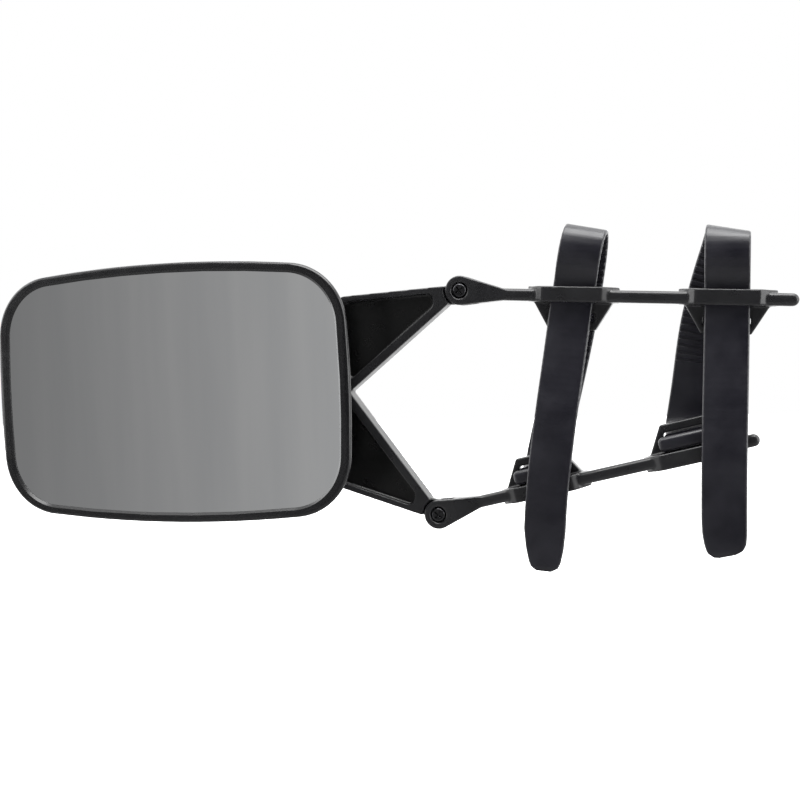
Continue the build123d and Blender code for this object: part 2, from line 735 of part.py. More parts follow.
def strap(name, *shape):
    stations = strap_stations(*shape)
    points = [Vector(x, y, z) for x, y, z, _ in stations]
    lower_pivot, lower_angle, _ = ARMS["lower"]
    foot_index = shape[0]
    with BuildPart() as band:
        for i, (x, y, z, lean) in enumerate(stations):
            before = points[max(i - 1, 0)]
            after = points[min(i + 1, len(points) - 1)]
            tangent = (after - before).normalized()
            width = Vector(cos(radians(lean)), 0, -sin(radians(lean)))
            width = (width - tangent * width.dot(tangent)).normalized()
            with BuildSketch(Plane(origin=(x, y, z), x_dir=width, z_dir=tangent)):
                Rectangle(STRAP_W, STRAP_T)
        loft(ruled=True)
        # moulded bar in front of the lower foot plate
        bar_up = ROD_OFFSET + BAR_SLOT[0] + BAR_RISE
        with BuildSketch(front_plane(lower_pivot, lower_angle, ARM_Y + BAR_DEPTHS[1])):
            with Locations((FEET[foot_index], bar_up)):
                RectangleRounded(BAR_LENGTH, BAR_H, 1.5)
        extrude(amount=BAR_DEPTHS[1] - BAR_DEPTHS[0])
    save(band.part, name)


# ---- make every piece ----
mirror_glass()
glass_backing_pad()
glass_carrier()
front_bezel()
rear_housing()
housing_screws()
ball_socket()
socket_retainer()
retainer_screws()
ball_liner()
ball_stud()
washer(BALL, 0, FIN_HALF, 1.0, 6.0, STUD_SHANK_R + 0.06, "stud_washer")
hex_nut(BALL, 0, FIN_HALF + 1.0, STUD_NUT_T, STUD_NUT_FLATS, STUD_SHANK_R + 0.06, "stud_nut")
bracket()
for arm_name, (arm_pivot, arm_angle, _) in ARMS.items():
    arm(arm_name)
    foot_pads(arm_name)
    pivot_screw(arm_name)
    hole = SCREW_HOLE_R
    washer(arm_pivot, arm_angle, EAR_OUT, WASHER_T, WASHER_R, hole, f"{arm_name}_pivot_washer")
    hex_nut(arm_pivot, arm_angle, EAR_OUT + WASHER_T, NUT_T, NUT_FLATS, hole, f"{arm_name}_pivot_nut")
strap("inner_strap", 0, 14.2, -0.6, 1.9, 13.0, 7.2, 8.4, -133.0)
strap("outer_strap", 1, 12.6, -1.4, -9.8, 12.5, 1.0, 2.0, -120.0)
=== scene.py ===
"""Strap-on towing mirror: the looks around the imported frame. Metres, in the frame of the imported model."""

import json
from math import cos, pi, radians, sin, sqrt

import bmesh
import bpy
from mathutils import Matrix, Vector


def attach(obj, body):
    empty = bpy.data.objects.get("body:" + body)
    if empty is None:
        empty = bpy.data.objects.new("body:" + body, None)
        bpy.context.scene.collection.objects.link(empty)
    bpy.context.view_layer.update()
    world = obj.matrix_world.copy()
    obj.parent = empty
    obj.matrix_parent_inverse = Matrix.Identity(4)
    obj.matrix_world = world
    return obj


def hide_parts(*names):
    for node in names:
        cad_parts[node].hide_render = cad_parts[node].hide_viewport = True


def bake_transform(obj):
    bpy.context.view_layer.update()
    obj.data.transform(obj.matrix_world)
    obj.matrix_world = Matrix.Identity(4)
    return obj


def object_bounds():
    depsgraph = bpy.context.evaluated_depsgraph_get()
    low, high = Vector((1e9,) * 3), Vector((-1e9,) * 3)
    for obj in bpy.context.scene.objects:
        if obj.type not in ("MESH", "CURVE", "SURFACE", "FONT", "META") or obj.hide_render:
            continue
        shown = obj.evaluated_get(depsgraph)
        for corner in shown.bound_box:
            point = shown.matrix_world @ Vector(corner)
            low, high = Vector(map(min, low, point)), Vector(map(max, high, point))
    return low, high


MM = 0.001
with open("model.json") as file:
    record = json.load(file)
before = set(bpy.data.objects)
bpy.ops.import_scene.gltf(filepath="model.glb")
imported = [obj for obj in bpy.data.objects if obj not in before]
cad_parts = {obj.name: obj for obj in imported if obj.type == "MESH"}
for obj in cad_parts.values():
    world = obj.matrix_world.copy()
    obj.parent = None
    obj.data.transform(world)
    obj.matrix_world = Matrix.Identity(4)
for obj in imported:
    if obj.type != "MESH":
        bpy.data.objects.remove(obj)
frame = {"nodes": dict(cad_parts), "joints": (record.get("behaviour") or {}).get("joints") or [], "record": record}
cad_low, cad_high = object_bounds()
nodes = frame["nodes"]
hinges = {joint["name"]: Vector(joint["pos_m"]) for joint in frame["joints"]}

# ---- places repeated from the design ----
UPPER_PIVOT = hinges["upper_hinge"]
LOWER_PIVOT = hinges["lower_hinge"]
ARM_Y = UPPER_PIVOT.y
UPPER_ANGLE = -3.75
LOWER_ANGLE = 12.8
FEET = (55.3 * MM, 127.3 * MM)  # pivot to the middle of each foot
ROD_OFFSET = 1.5 * MM
PAD_OFFSET = 2.2 * MM
BAR_SLOT_EDGE = 8.2 * MM  # rod axis to the near edge of the strap bar's slot
FOOT_DEPTH = 8 * MM
PAD_THICK = 2.5 * MM
WEB_HALF = 1.5 * MM  # half thickness of the bracket's webs


def step(spot, angle, along, across, y):
    """The point reached from a pivot by going along an arm's direction and across it, upwards."""
    a = radians(angle)
    return Vector(
        (
            spot.x + along * cos(a) - across * sin(a),
            y,
            spot.z + along * sin(a) + across * cos(a),
        )
    )


# ---- camera ----
CAMERA_YAW = 17.62
CAMERA_PITCH = 2.54
CAMERA_ROLL = -1.95
CAMERA_DISTANCE = 566.3 * MM
CAMERA_TARGET = Vector((-88.96 * MM, ARM_Y, -46.6 * MM))


def make_camera():
    yaw, pitch, roll = (radians(a) for a in (CAMERA_YAW, CAMERA_PITCH, CAMERA_ROLL))
    forward = Vector((-sin(yaw) * cos(pitch), cos(yaw) * cos(pitch), -sin(pitch)))
    level = forward.cross(Vector((0, 0, 1))).normalized()
    upright = level.cross(forward)
    right = level * cos(roll) + upright * sin(roll)
    up = right.cross(forward)
    data = bpy.data.cameras.new("camera")
    data.lens = 50
    data.sensor_width = 36
    data.clip_start = 0.01
    camera = bpy.data.objects.new("camera", data)
    bpy.context.scene.collection.objects.link(camera)
    turn = Matrix((right, up, -forward)).transposed().to_4x4()
    camera.matrix_world = Matrix.Translation(CAMERA_TARGET - forward * CAMERA_DISTANCE) @ turn
    bpy.context.scene.camera = camera


# ---- studio ----
def area_light(name, spot, aim, width, height, power):
    data = bpy.data.lights.new(name, "AREA")
    data.shape = "RECTANGLE"
    data.size = width
    data.size_y = height
    data.energy = power
    light = bpy.data.objects.new(name, data)
    bpy.context.scene.collection.objects.link(light)
    light.location = spot
    light.rotation_euler = (Vector(aim) - Vector(spot)).to_track_quat("-Z", "Y").to_euler()


def ramp(tree, source, stops):
    """A colour ramp of greys or colours over a 0 to 1 input."""
    node = tree.nodes.new("ShaderNodeValToRGB")
    tree.links.new(source, node.inputs["Fac"])
    elements = node.color_ramp.elements
    while len(elements) < len(stops):
        elements.new(0.5)
    for element, (place, colour) in zip(elements, stops):
        element.position = place
        element.color = (*colour, 1) if isinstance(colour, tuple) else (colour, colour, colour, 1)
    return node.outputs["Color"]


def map_range(tree, source, low, high, to_low=0.0, to_high=1.0):
    node = tree.nodes.new("ShaderNodeMapRange")
    tree.links.new(source, node.inputs["Value"])
    node.inputs["From Min"].default_value = low
    node.inputs["From Max"].default_value = high
    node.inputs["To Min"].default_value = to_low
    node.inputs["To Max"].default_value = to_high
    return node.outputs["Result"]


def mix(tree, factor, first, second):
    """Mixes two colours or sockets by a socket."""
    node = tree.nodes.new("ShaderNodeMix")
    node.data_type = "RGBA"
    tree.links.new(factor, node.inputs["Factor"])
    for name, value in (("A", first), ("B", second)):
        socket = [s for s in node.inputs if s.name == name and s.type == "RGBA"][0]
        if isinstance(value, bpy.types.NodeSocket):
            tree.links.new(value, socket)
        else:
            socket.default_value = (*value, 1)
    return [s for s in node.outputs if s.type == "RGBA"][0]


COVE = 2.2  # brightness of the cove in reflections
COVE_START = (-0.62, -0.12)  # direction's Y from the dark room to the full cove
LOW_START = (-0.75, -0.15)  # direction's Z from the floor's grey to the rest
FLOOR_GREY = (0.5, 0.5, 0.5)
# What the glass sees in front, from left to right: dark, a grey card that brightens, dark.
CARD = [(0.12, 0.04), (0.19, 0.185), (0.33, 0.385), (0.345, 0.38), (0.375, 0.038), (1.0, 0.038)]


def make_world():
    """A white cove behind the object and a dark room in front; the camera itself sees only white."""
    world = bpy.data.worlds.new("studio")
    bpy.context.scene.world = world
    world.use_nodes = True
    tree = world.node_tree
    background = tree.nodes["Background"]
    direction = tree.nodes.new("ShaderNodeTexCoord").outputs["Generated"]
    split = tree.nodes.new("ShaderNodeSeparateXYZ")
    tree.links.new(direction, split.inputs[0])
    across = map_range(tree, split.outputs["X"], -1, 1)
    room = ramp(tree, across, CARD)
    cove = map_range(tree, split.outputs["Y"], *COVE_START)
    seen_in_gloss = mix(tree, cove, room, (COVE, COVE, COVE))
    low = map_range(tree, split.outputs["Z"], *LOW_START)
    seen_in_gloss = mix(tree, low, FLOOR_GREY, seen_in_gloss)
    camera_ray = tree.nodes.new("ShaderNodeLightPath").outputs["Is Camera Ray"]
    tree.links.new(mix(tree, camera_ray, seen_in_gloss, (1.0, 1.0, 1.0)), background.inputs["Color"])


FLOOR_HALF = 3.0
FLOOR_DROP = 0.12  # below the object's lowest point


def make_floor():
    mesh = bpy.data.meshes.new("floor")
    corners = [(-1, -1), (1, -1), (1, 1), (-1, 1)]
    mesh.from_pydata([(x * FLOOR_HALF, y * FLOOR_HALF, 0) for x, y in corners], [], [(0, 1, 2, 3)])
    floor = bpy.data.objects.new("floor", mesh)
    floor.location = (0, 0, cad_low.z - FLOOR_DROP)
    bpy.context.scene.collection.objects.link(floor)
    pale = bpy.data.materials.new("pale_floor")
    pale.use_nodes = True
    shader = pale.node_tree.nodes["Principled BSDF"]
    shader.inputs["Base Color"].default_value = (0.9, 0.9, 0.9, 1)
    shader.inputs["Roughness"].default_value = 0.9
    shader.inputs["Emission Color"].default_value = (1, 1, 1, 1)
    shader.inputs["Emission Strength"].default_value = 0.6
    mesh.materials.append(pale)
    floor.visible_glossy = False


def make_studio():
    make_world()
    bpy.context.scene.view_settings.view_transform = "Standard"
    area_light("top_softbox", (0.0, -0.25, 0.95), (-0.09, 0, -0.05), 1.2, 0.7, 22)
    area_light("left_softbox", (-0.95, -0.35, 0.2), (-0.1, 0, -0.05), 0.5, 0.8, 4)
    area_light("right_softbox", (0.95, -0.3, 0.2), (0, 0, -0.05), 0.5, 0.9, 6)
    make_floor()


# ---- materials ----
def new_material(name):
    """A material, its node tree, its shader and the object's own coordinates."""
    material = bpy.data.materials.new(name)
    material.use_nodes = True
    tree = material.node_tree
    place = tree.nodes.new("ShaderNodeTexCoord").outputs["Object"]
    return material, tree, tree.nodes["Principled BSDF"], place


def noise(tree, place, scale, detail=3.0, roughness=0.55, stretch=None):
    if stretch:
        mapping = tree.nodes.new("ShaderNodeMapping")
        tree.links.new(place, mapping.inputs["Vector"])
        mapping.inputs["Scale"].default_value = stretch
        place = mapping.outputs["Vector"]
    node = tree.nodes.new("ShaderNodeTexNoise")
    tree.links.new(place, node.inputs["Vector"])
    node.inputs["Scale"].default_value = scale
    node.inputs["Detail"].default_value = detail
    node.inputs["Roughness"].default_value = roughness
    return node.outputs["Fac"]


def bump(tree, shader, layers):
    """Layers of (height socket, strength, distance in metres), one on another."""
    previous = None
    for height, strength, distance in layers:
        node = tree.nodes.new("ShaderNodeBump")
        node.inputs["Strength"].default_value = strength
        node.inputs["Distance"].default_value = distance
        tree.links.new(height, node.inputs["Height"])
        if previous:
            tree.links.new(previous, node.inputs["Normal"])
        previous = node.outputs["Normal"]
    tree.links.new(previous, shader.inputs["Normal"])


def plastic(name, dark, light, roughness, grain, web_shade=None):
    """Injection-moulded black plastic: fine spark-eroded grain, slow mottling and handling marks.

    The painted shade, given as (middle Y, half depth, colour), paints the sheltered webs near that plane a deeper
    black where shade falls in their recess.
    """
    material, tree, shader, place = new_material(name)
    mottle = noise(tree, place, 55, 4)
    colour = ramp(tree, mottle, [(0.3, dark), (0.7, light)])
    marks = noise(tree, place, 160, 5, 0.65)
    rough = map_range(tree, marks, 0.3, 0.75, roughness - 0.05, roughness + 0.07)
    # painted shade: faces within the half depth of the middle plane take the darker colour, blending out to 1.6
    # times that depth
    if web_shade:
        middle, half, shade_colour = web_shade
        split = tree.nodes.new("ShaderNodeSeparateXYZ")
        tree.links.new(place, split.inputs[0])
        offset = tree.nodes.new("ShaderNodeMath")
        offset.operation = "SUBTRACT"
        tree.links.new(split.outputs["Y"], offset.inputs[0])
        offset.inputs[1].default_value = middle
        away = tree.nodes.new("ShaderNodeMath")
        away.operation = "ABSOLUTE"
        tree.links.new(offset.outputs[0], away.inputs[0])
        unshaded = map_range(tree, away.outputs[0], half, half * 1.6)
        colour = mix(tree, unshaded, shade_colour, colour)
    tree.links.new(colour, shader.inputs["Base Color"])
    tree.links.new(rough, shader.inputs["Roughness"])
    fine = noise(tree, place, 2600, 2, 0.5)
    bump(tree, shader, [(mottle, 0.03, 0.0004), (fine, grain, 0.00004)])
    shader.inputs["IOR"].default_value = 1.46
    return material


def rubber(name, dark, light, roughness):
    """Moulded rubber: bluish black, faint cross wrinkles, a dry bloom in patches."""
    material, tree, shader, place = new_material(name)
    bloom = noise(tree, place, 70, 5, 0.6)
    colour = ramp(tree, bloom, [(0.32, dark), (0.72, light)])
    rough = map_range(tree, bloom, 0.3, 0.7, roughness - 0.06, roughness + 0.06)
    tree.links.new(colour, shader.inputs["Base Color"])
    tree.links.new(rough, shader.inputs["Roughness"])
    wrinkles = noise(tree, place, 30, 3, 0.5, stretch=(1.0, 1.0, 9.0))
    fine = noise(tree, place, 1900, 2, 0.5)
    bump(tree, shader, [(wrinkles, 0.15, 0.0004), (fine, 0.12, 0.00005)])
    shader.inputs["IOR"].default_value = 1.5
    shader.inputs["Sheen Weight"].default_value = 0.04
    shader.inputs["Sheen Roughness"].default_value = 0.4
    return material


def metal(name, tint, roughness):
    """Plated or blackened steel with fine turning marks."""
    material, tree, shader, place = new_material(name)
    patina = noise(tree, place, 240, 4)
    darker = tuple(c * 0.75 for c in tint)
    colour = ramp(tree, patina, [(0.35, darker), (0.65, tint)])
    rough = map_range(tree, patina, 0.3, 0.7, roughness - 0.06, roughness + 0.1)
    tree.links.new(colour, shader.inputs["Base Color"])
    tree.links.new(rough, shader.inputs["Roughness"])
    scratches = noise(tree, place, 900, 2, 0.5, stretch=(1.0, 1.0, 0.2))
    bump(tree, shader, [(scratches, 0.15, 0.00004)])
    shader.inputs["Metallic"].default_value = 1.0
    return material


def mirror_finish():
    """Silvered glass: clean reflection with a trace of dust and drying streaks."""
    material, tree, shader, place = new_material("silvered_glass")
    streaks = noise(tree, place, 18, 3, 0.5, stretch=(3.0, 1.0, 0.25))
    silver = ramp(tree, streaks, [(0.3, (0.80, 0.81, 0.82)), (0.7, (0.88, 0.885, 0.89))])
    tree.links.new(silver, shader.inputs["Base Color"])
    dust = noise(tree, place, 420, 4, 0.6)
    tree.links.new(map_range(tree, dust, 0.35, 0.8, 0.03, 0.07), shader.inputs["Roughness"])
    shader.inputs["Metallic"].default_value = 1.0
    return material


def make_materials():
    """Materials by slot name, with the bracket's own under its node's name; the bracket's has painted shade on its
    webs.
    """
    return {
        "mirror": mirror_finish(),
        "foam": rubber("backing_foam", (0.03, 0.03, 0.03), (0.05, 0.05, 0.05), 0.9),
        "shell_plastic": plastic(
            "shell_plastic",
            (0.0030, 0.0030, 0.0034),
            (0.0050, 0.0050, 0.0056),
            0.24,
            0.1,
        ),
        "arm_plastic": plastic(
            "arm_plastic",
            (0.0058, 0.0058, 0.0064),
            (0.0088, 0.0088, 0.0098),
            0.3,
            0.14,
        ),
        "bracket": plastic(
            "bracket_plastic_painted_web_shade",
            (0.0052, 0.0052, 0.0058),
            (0.0080, 0.0080, 0.0090),
            0.3,
            0.12,
            # painted shade: a deeper black on the bracket's recessed webs
            web_shade=(ARM_Y, WEB_HALF, (0.0014, 0.0014, 0.0015)),
        ),
        "liner_plastic": plastic("liner_plastic", (0.62, 0.61, 0.56), (0.72, 0.70, 0.66), 0.3, 0.05),
        "strap_rubber": rubber(
            "strap_rubber",
            (0.0030, 0.0028, 0.0054),
            (0.0060, 0.0057, 0.0096),
            0.37,
        ),
        "pad_rubber": rubber("pad_rubber", (0.014, 0.014, 0.015), (0.024, 0.024, 0.025), 0.7),
        "zinc_steel": metal("zinc_steel", (0.55, 0.54, 0.50), 0.32),
        "black_steel": metal("black_steel", (0.09, 0.09, 0.095), 0.3),
    }


# ---- finish of the CAD pieces ----
BEVELS = {
    "front_bezel": 0.35 * MM,
    "rear_housing": 0.5 * MM,
    "socket_retainer": 0.4 * MM,
    "ball_socket": 0.4 * MM,
    "stud_nut": 0.25 * MM,
    "stud_washer": 0.15 * MM,
    "upper_pivot_nut": 0.2 * MM,
    "lower_pivot_nut": 0.2 * MM,
    "upper_pivot_washer": 0.12 * MM,
    "lower_pivot_washer": 0.12 * MM,
    "upper_pivot_screw": 0.12 * MM,
    "lower_pivot_screw": 0.12 * MM,
    "ball_stud": 0.3 * MM,
}
BEVEL_ANGLE = 32
# voxel size and rounds of smoothing of the pieces whose inner corners are blended too
MOULDED = {
    "upper_arm": (0.4 * MM, 14),
    "lower_arm": (0.4 * MM, 14),
    "bracket": (0.5 * MM, 7),
}


def soften(obj, width):
    """Rounds the edges of a CAD piece with modifiers, leaving its mesh as it is."""
    weld = obj.modifiers.new("weld", "WELD")
    weld.merge_threshold = 0.002 * MM
    flat = obj.modifiers.new("flat", "DECIMATE")
    flat.decimate_type = "DISSOLVE"
    flat.angle_limit = radians(1)
    bevel = obj.modifiers.new("bevel", "BEVEL")
    bevel.width = width
    bevel.segments = 3
    bevel.limit_method = "ANGLE"
    bevel.angle_limit = radians(BEVEL_ANGLE)
    bevel.use_clamp_overlap = True
    bevel.miter_outer = "MITER_ARC"
    normals = obj.modifiers.new("normals", "WEIGHTED_NORMAL")
    normals.keep_sharp = False
    normals.weight = 50


def mould(obj, voxel, rounds):
    """Blends a CAD piece's edges and inner corners like a moulding, leaving its mesh as it is."""
    voxels = obj.modifiers.new("voxels", "REMESH")
    voxels.mode = "VOXEL"
    voxels.voxel_size = voxel
    voxels.use_smooth_shade = True
    smooth = obj.modifiers.new("smooth", "SMOOTH")
    smooth.factor = 0.6
    smooth.iterations = rounds


def finish_cad_nodes(materials):
    slots = {part["node"]: part["material_slot"] for part in frame["record"]["subparts"]}
    for name, obj in nodes.items():
        obj.data.materials.clear()
        obj.data.materials.append(materials.get(name, materials[slots[name]]))
        for face in obj.data.polygons:
            face.use_smooth = True
        if name in MOULDED:
            mould(obj, *MOULDED[name])
        elif name in BEVELS:
            soften(obj, BEVELS[name])


# ---- lofted pieces ----
CORNER_STEPS = 4


def rounded_ring(left, right, low, high, radius):
    """A rounded rectangle's points in its own (across, out) coordinates, anticlockwise."""
    radius = min(radius, (right - left) * 0.49, (high - low) * 0.49)
    corners = [
        (right - radius, high - radius, 0),
        (left + radius, high - radius, 90),
        (left + radius, low + radius, 180),
        (right - radius, low + radius, 270),
    ]
    ring = []
    for across, out, first in corners:
        for i in range(CORNER_STEPS + 1):
            a = radians(first + 90 * i / CORNER_STEPS)
            ring.append((across + radius * cos(a), out + radius * sin(a)))
    return ring


def loft_rings(name, sections, material, sharp=40):
    """A closed piece through sections, each (middle, across axis, out axis, ring of points)."""
    mesh_maker = bmesh.new()
    rows = []
    for middle, across_axis, out_axis, ring in sections:
        rows.append([mesh_maker.verts.new(middle + across_axis * u + out_axis * v) for u, v in ring])
    count = len(rows[0])
    for row, following in zip(rows, rows[1:]):
        for i in range(count):
            j = (i + 1) % count
            mesh_maker.faces.new((row[i], row[j], following[j], following[i]))
    mesh_maker.faces.new(rows[0])
    mesh_maker.faces.new(list(reversed(rows[-1])))
    bmesh.ops.recalc_face_normals(mesh_maker, faces=mesh_maker.faces)
    return piece_from(name, mesh_maker, material, sharp)


def piece_from(name, mesh_maker, material, sharp=40):
    mesh = bpy.data.meshes.new(name)
    mesh_maker.to_mesh(mesh)
    mesh_maker.free()
    for face in mesh.polygons:
        face.use_smooth = True
    mesh.set_sharp_from_angle(angle=radians(sharp))
    mesh.materials.append(material)
    piece = bpy.data.objects.new(name, mesh)
    bpy.context.scene.collection.objects.link(piece)
    return piece


# ---- straps ----
STRAP_HALF_W = 10.25
STRAP_HALF_T = 1.3
EDGE_ROUND = 1.15
TOOTH_PITCH = 3.4
TOOTH_LAND = 1.7
TOOTH_SLOPE = 0.35
TOOTH_DEPTH = 0.5
SAMPLE = 1.7  # spacing of the plain sections
# Side views of a strap's middle line: (height, depth behind the middle plane of the arms), in mm.
# Heights are above the lower slot's near edge for REAR_START, and above the upper rod for the rest.
REAR_START = [(2.1, 0.6), (2.1, 5.0), (2.3, 8.4), (5.0, 11.8), (10.5, 13.9), (18.0, 14.4)]
LOOP = [
    (-6, 14.4),
    (14, 14.4),
    (23, 13.4),
    (28.6, 10.8),
    (31.4, 7.0),
    (31.6, 2.6),
    (29.0, -1.4),
    (23.5, -3.6),
    (15.0, -2.8),
    (7.5, 0.2),
    (-6.5, 0.2),
]
TAIL = [(-16, -0.8), (-34, -3.2), (-54, -6.2), (-70, -7.4), (-90, -7.6)]
TAIL_DEPTH = -7.6
# Half widths (left, right) towards a free end, by distance from that end, in mm.
INNER_TIP = [
    (0, -3.4, 4.4),
    (0.7, -5.0, 6.4),
    (2.0, -6.2, 7.6),
    (4.5, -7.2, 8.6),
    (11, -8.9, 9.7),
    (20, -10.25, 10.25),
]
OUTER_TIP = [
    (0, -4.8, -1.4),
    (0.6, -6.4, 2.2),
    (2.2, -7.8, 6.9),
    (3.8, -8.4, 8.7),
    (6.4, -9.1, 9.9),
    (11, -9.9, 10.25),
    (18, -10.25, 10.25),
]
# name: foot, rear lean, foot shift, rear shift, top lean, top shift, front lean, tail end, hang, tip
STRAPS = {
    "inner_strap": (0, 14.2, -0.6, 1.9, 13.0, 7.2, 8.4, -133.0, 2.6, INNER_TIP),
    "outer_strap": (1, 12.6, -1.4, -9.8, 12.5, 1.0, 2.0, -120.0, 0.6, OUTER_TIP),
}


def between(value, low, high, at_low, at_high):
    """Value on the straight line through two points."""
    return at_low + (at_high - at_low) * (value - low) / (high - low)


def tail_hang(height, tail_end, hang):
    """How far the free end swings to the right as it hangs straighter towards its tip."""
    return hang * max(0.0, between(height, tail_end + 55, tail_end, 0, 1)) ** 2


def strap_stations(foot, rear_lean, foot_shift, rear_shift, top_lean, top_shift, front_lean, tail_end, hang):
    """Stations (x, y, z, lean) in mm of a strap's middle line, from its bar to its free end."""
    arm_y = ARM_Y / MM
    top = step(UPPER_PIVOT, UPPER_ANGLE, FEET[foot], -ROD_OFFSET, 0) / MM
    bar = step(LOWER_PIVOT, LOWER_ANGLE, FEET[foot], ROD_OFFSET + BAR_SLOT_EDGE, 0) / MM
    crest = top.z + LOOP[5][0]
    stations = []
    for height, depth in REAR_START:
        z = bar.z + height
        x = between(z, bar.z, top.z, bar.x + foot_shift, top.x + rear_shift)
        if depth < FOOT_DEPTH / MM + 1:
            across = ROD_OFFSET + BAR_SLOT_EDGE + height * MM
            spot = step(LOWER_PIVOT, LOWER_ANGLE, FEET[foot], across, 0) / MM
            x, z = spot.x, spot.z
        lean = between(max(height, 2.3), 2.3, REAR_START[-1][0], -LOWER_ANGLE, rear_lean)
        stations.append(Vector((x, arm_y + depth, z, lean)))
    for height, depth in LOOP:
        z = top.z + height
        if depth > 9:
            x = between(z, bar.z, top.z, bar.x + foot_shift, top.x + rear_shift)
            if height > 0:
                x = between(z, top.z, crest, top.x + rear_shift, top.x + top_shift)
            lean = between(height, 0, LOOP[5][0], rear_lean, top_lean)
        elif height < 0:
            x = top.x + height * sin(radians(front_lean))
            lean = front_lean
        else:
            x = between(z, top.z, crest, top.x, top.x + top_shift)
            lean = between(height, 0, LOOP[5][0], front_lean, top_lean)
        stations.append(Vector((x, arm_y + depth, z, lean)))
    for height, depth in TAIL + [(tail_end, TAIL_DEPTH)]:
        x = top.x + height * sin(radians(front_lean)) + tail_hang(height, tail_end, hang)
        stations.append(Vector((x, arm_y + depth, top.z + height, front_lean)))
    return stations


def smooth_path(stations):
    """Distances along the stations, and a function giving the smooth line's point at a distance."""
    reach = [0.0]
    for one, other in zip(stations, stations[1:]):
        reach.append(reach[-1] + (other - one).xyz.length)
    slopes = []
    for i in range(len(stations)):
        before = max(i - 1, 0)
        after = min(i + 1, len(stations) - 1)
        slope = (stations[after] - stations[before]) / (reach[after] - reach[before])
        if before < i < after:
            first = (stations[i] - stations[before]) / (reach[i] - reach[before])
            second = (stations[after] - stations[i]) / (reach[after] - reach[i])
            share = (reach[i] - reach[before]) / (reach[after] - reach[before])
            slope = first * (1 - share) + second * share
        slopes.append(slope)

    def at(s):
        i = max(k for k in range(len(reach) - 1) if reach[k] <= s + 1e-9)
        span = reach[i + 1] - reach[i]
        t = (s - reach[i]) / span
        return (
            stations[i] * (2 * t**3 - 3 * t**2 + 1)
            + slopes[i] * span * (t**3 - 2 * t**2 + t)
            + stations[i + 1] * (3 * t**2 - 2 * t**3)
            + slopes[i + 1] * span * (t**3 - t**2)
        )

    return reach, at


def tip_widths(distance, tip):
    """Left and right half widths at a distance from the free end."""
    for (near, left, right), (far, far_left, far_right) in zip(tip, tip[1:]):
        if distance <= far:
            return (
                between(distance, near, far, left, far_left),
                between(distance, near, far, right, far_right),
            )
    return -STRAP_HALF_W, STRAP_HALF_W


def tooth_stops(first, last, toothed):
    """Distances of the sections from first to last, each with the depth of the groove there."""
    stops = []
    count = int((last - first) / SAMPLE) + 1
    for i in range(count + 1):
        s = first + (last - first) * i / count
        if i in (0, count) or not toothed[0] < s < toothed[1]:
            stops.append((s, 0.0))
    tooth = toothed[0]
    while tooth + TOOTH_PITCH < toothed[1]:
        width = TOOTH_PITCH - TOOTH_LAND
        groove = [(0, 0.0), (TOOTH_SLOPE, TOOTH_DEPTH), (width - TOOTH_SLOPE, TOOTH_DEPTH), (width, 0.0)]
        stops += [(tooth + s, depth) for s, depth in groove if first + 0.1 < tooth + s < last - 0.1]
        tooth += TOOTH_PITCH
    return sorted(stops)


def strap_section(at, s, total, tip, groove):
    here = at(s)
    tangent = (at(min(s + 0.4, total)) - at(max(s - 0.4, 0))).xyz.normalized()
    lean = radians(here.w)
    across = Vector((cos(lean), 0, -sin(lean)))
    across = (across - tangent * across.dot(tangent)).normalized()
    out = tangent.cross(across)
    left, right = tip_widths(total - s, tip)
    thin = 0.25 * max(0.0, 1 - (total - s) / 2)
    ring = rounded_ring(left, right, -STRAP_HALF_T + groove + thin, STRAP_HALF_T - thin, EDGE_ROUND)
    return here.xyz * MM, across * MM, out * MM, ring


def strap_span(name, at, total, first, last, toothed, tip, material):
    stops = tooth_stops(first, last, toothed)
    sections = [strap_section(at, s, total, tip, groove) for s, groove in stops]
    return loft_rings(name, sections, material)


BAR_HALF_LENGTH = 13.5
BAR_HALF_H = 3.5
BAR_FRONT = -3.6
BAR_REAR = 1.9
BAR_RISE = -0.9  # middle of the bar from the near edge of the slot
BAR_DOME = 2.4  # length of its domed ends
BAR_TIP = 0.35  # share of its size left at the very end
BAR_CORNER = 2.0
BAR_STEPS = 10


def strap_bar(name, foot, material):
    """The moulded bar in front of the lower foot plate: a rounded bar with domed ends."""
    arm_y = ARM_Y / MM
    a = radians(LOWER_ANGLE)
    along = Vector((cos(a), 0, sin(a)))
    upward = Vector((-sin(a), 0, cos(a)))
    across = ROD_OFFSET + BAR_SLOT_EDGE + BAR_RISE * MM
    middle = step(LOWER_PIVOT, LOWER_ANGLE, FEET[foot], across, 0) / MM
    places = []
    for i in range(BAR_STEPS):
        p = -cos(pi * i / (2 * BAR_STEPS))
        dome = sqrt(max(0.0, 1 - p * p))
        places.append((-BAR_HALF_LENGTH + BAR_DOME * (1 + p), BAR_TIP + (1 - BAR_TIP) * dome))
    places += [(-x, swell) for x, swell in reversed(places)]
    sections = []
    for x, swell in places:
        spot = Vector((middle.x, arm_y + (BAR_FRONT + BAR_REAR) / 2, middle.z)) + along * x
        half_h = BAR_HALF_H * swell
        half_d = (BAR_REAR - BAR_FRONT) / 2 * swell
        ring = rounded_ring(-half_h, half_h, -half_d, half_d, BAR_CORNER * swell)
        sections.append((spot * MM, upward * MM, Vector((0, -1, 0)) * MM, ring))
    return loft_rings(name, sections, material, 50)


def reach_below(at, first, last, height):
    """Distance along the strap, after its highest point, where it comes down past a height in mm."""
    spots = [first + 0.5 * i for i in range(int((last - first) / 0.5))]
    top = max(spots, key=lambda s: at(s).z)
    return next(s for s in spots if s > top and at(s).z < height)


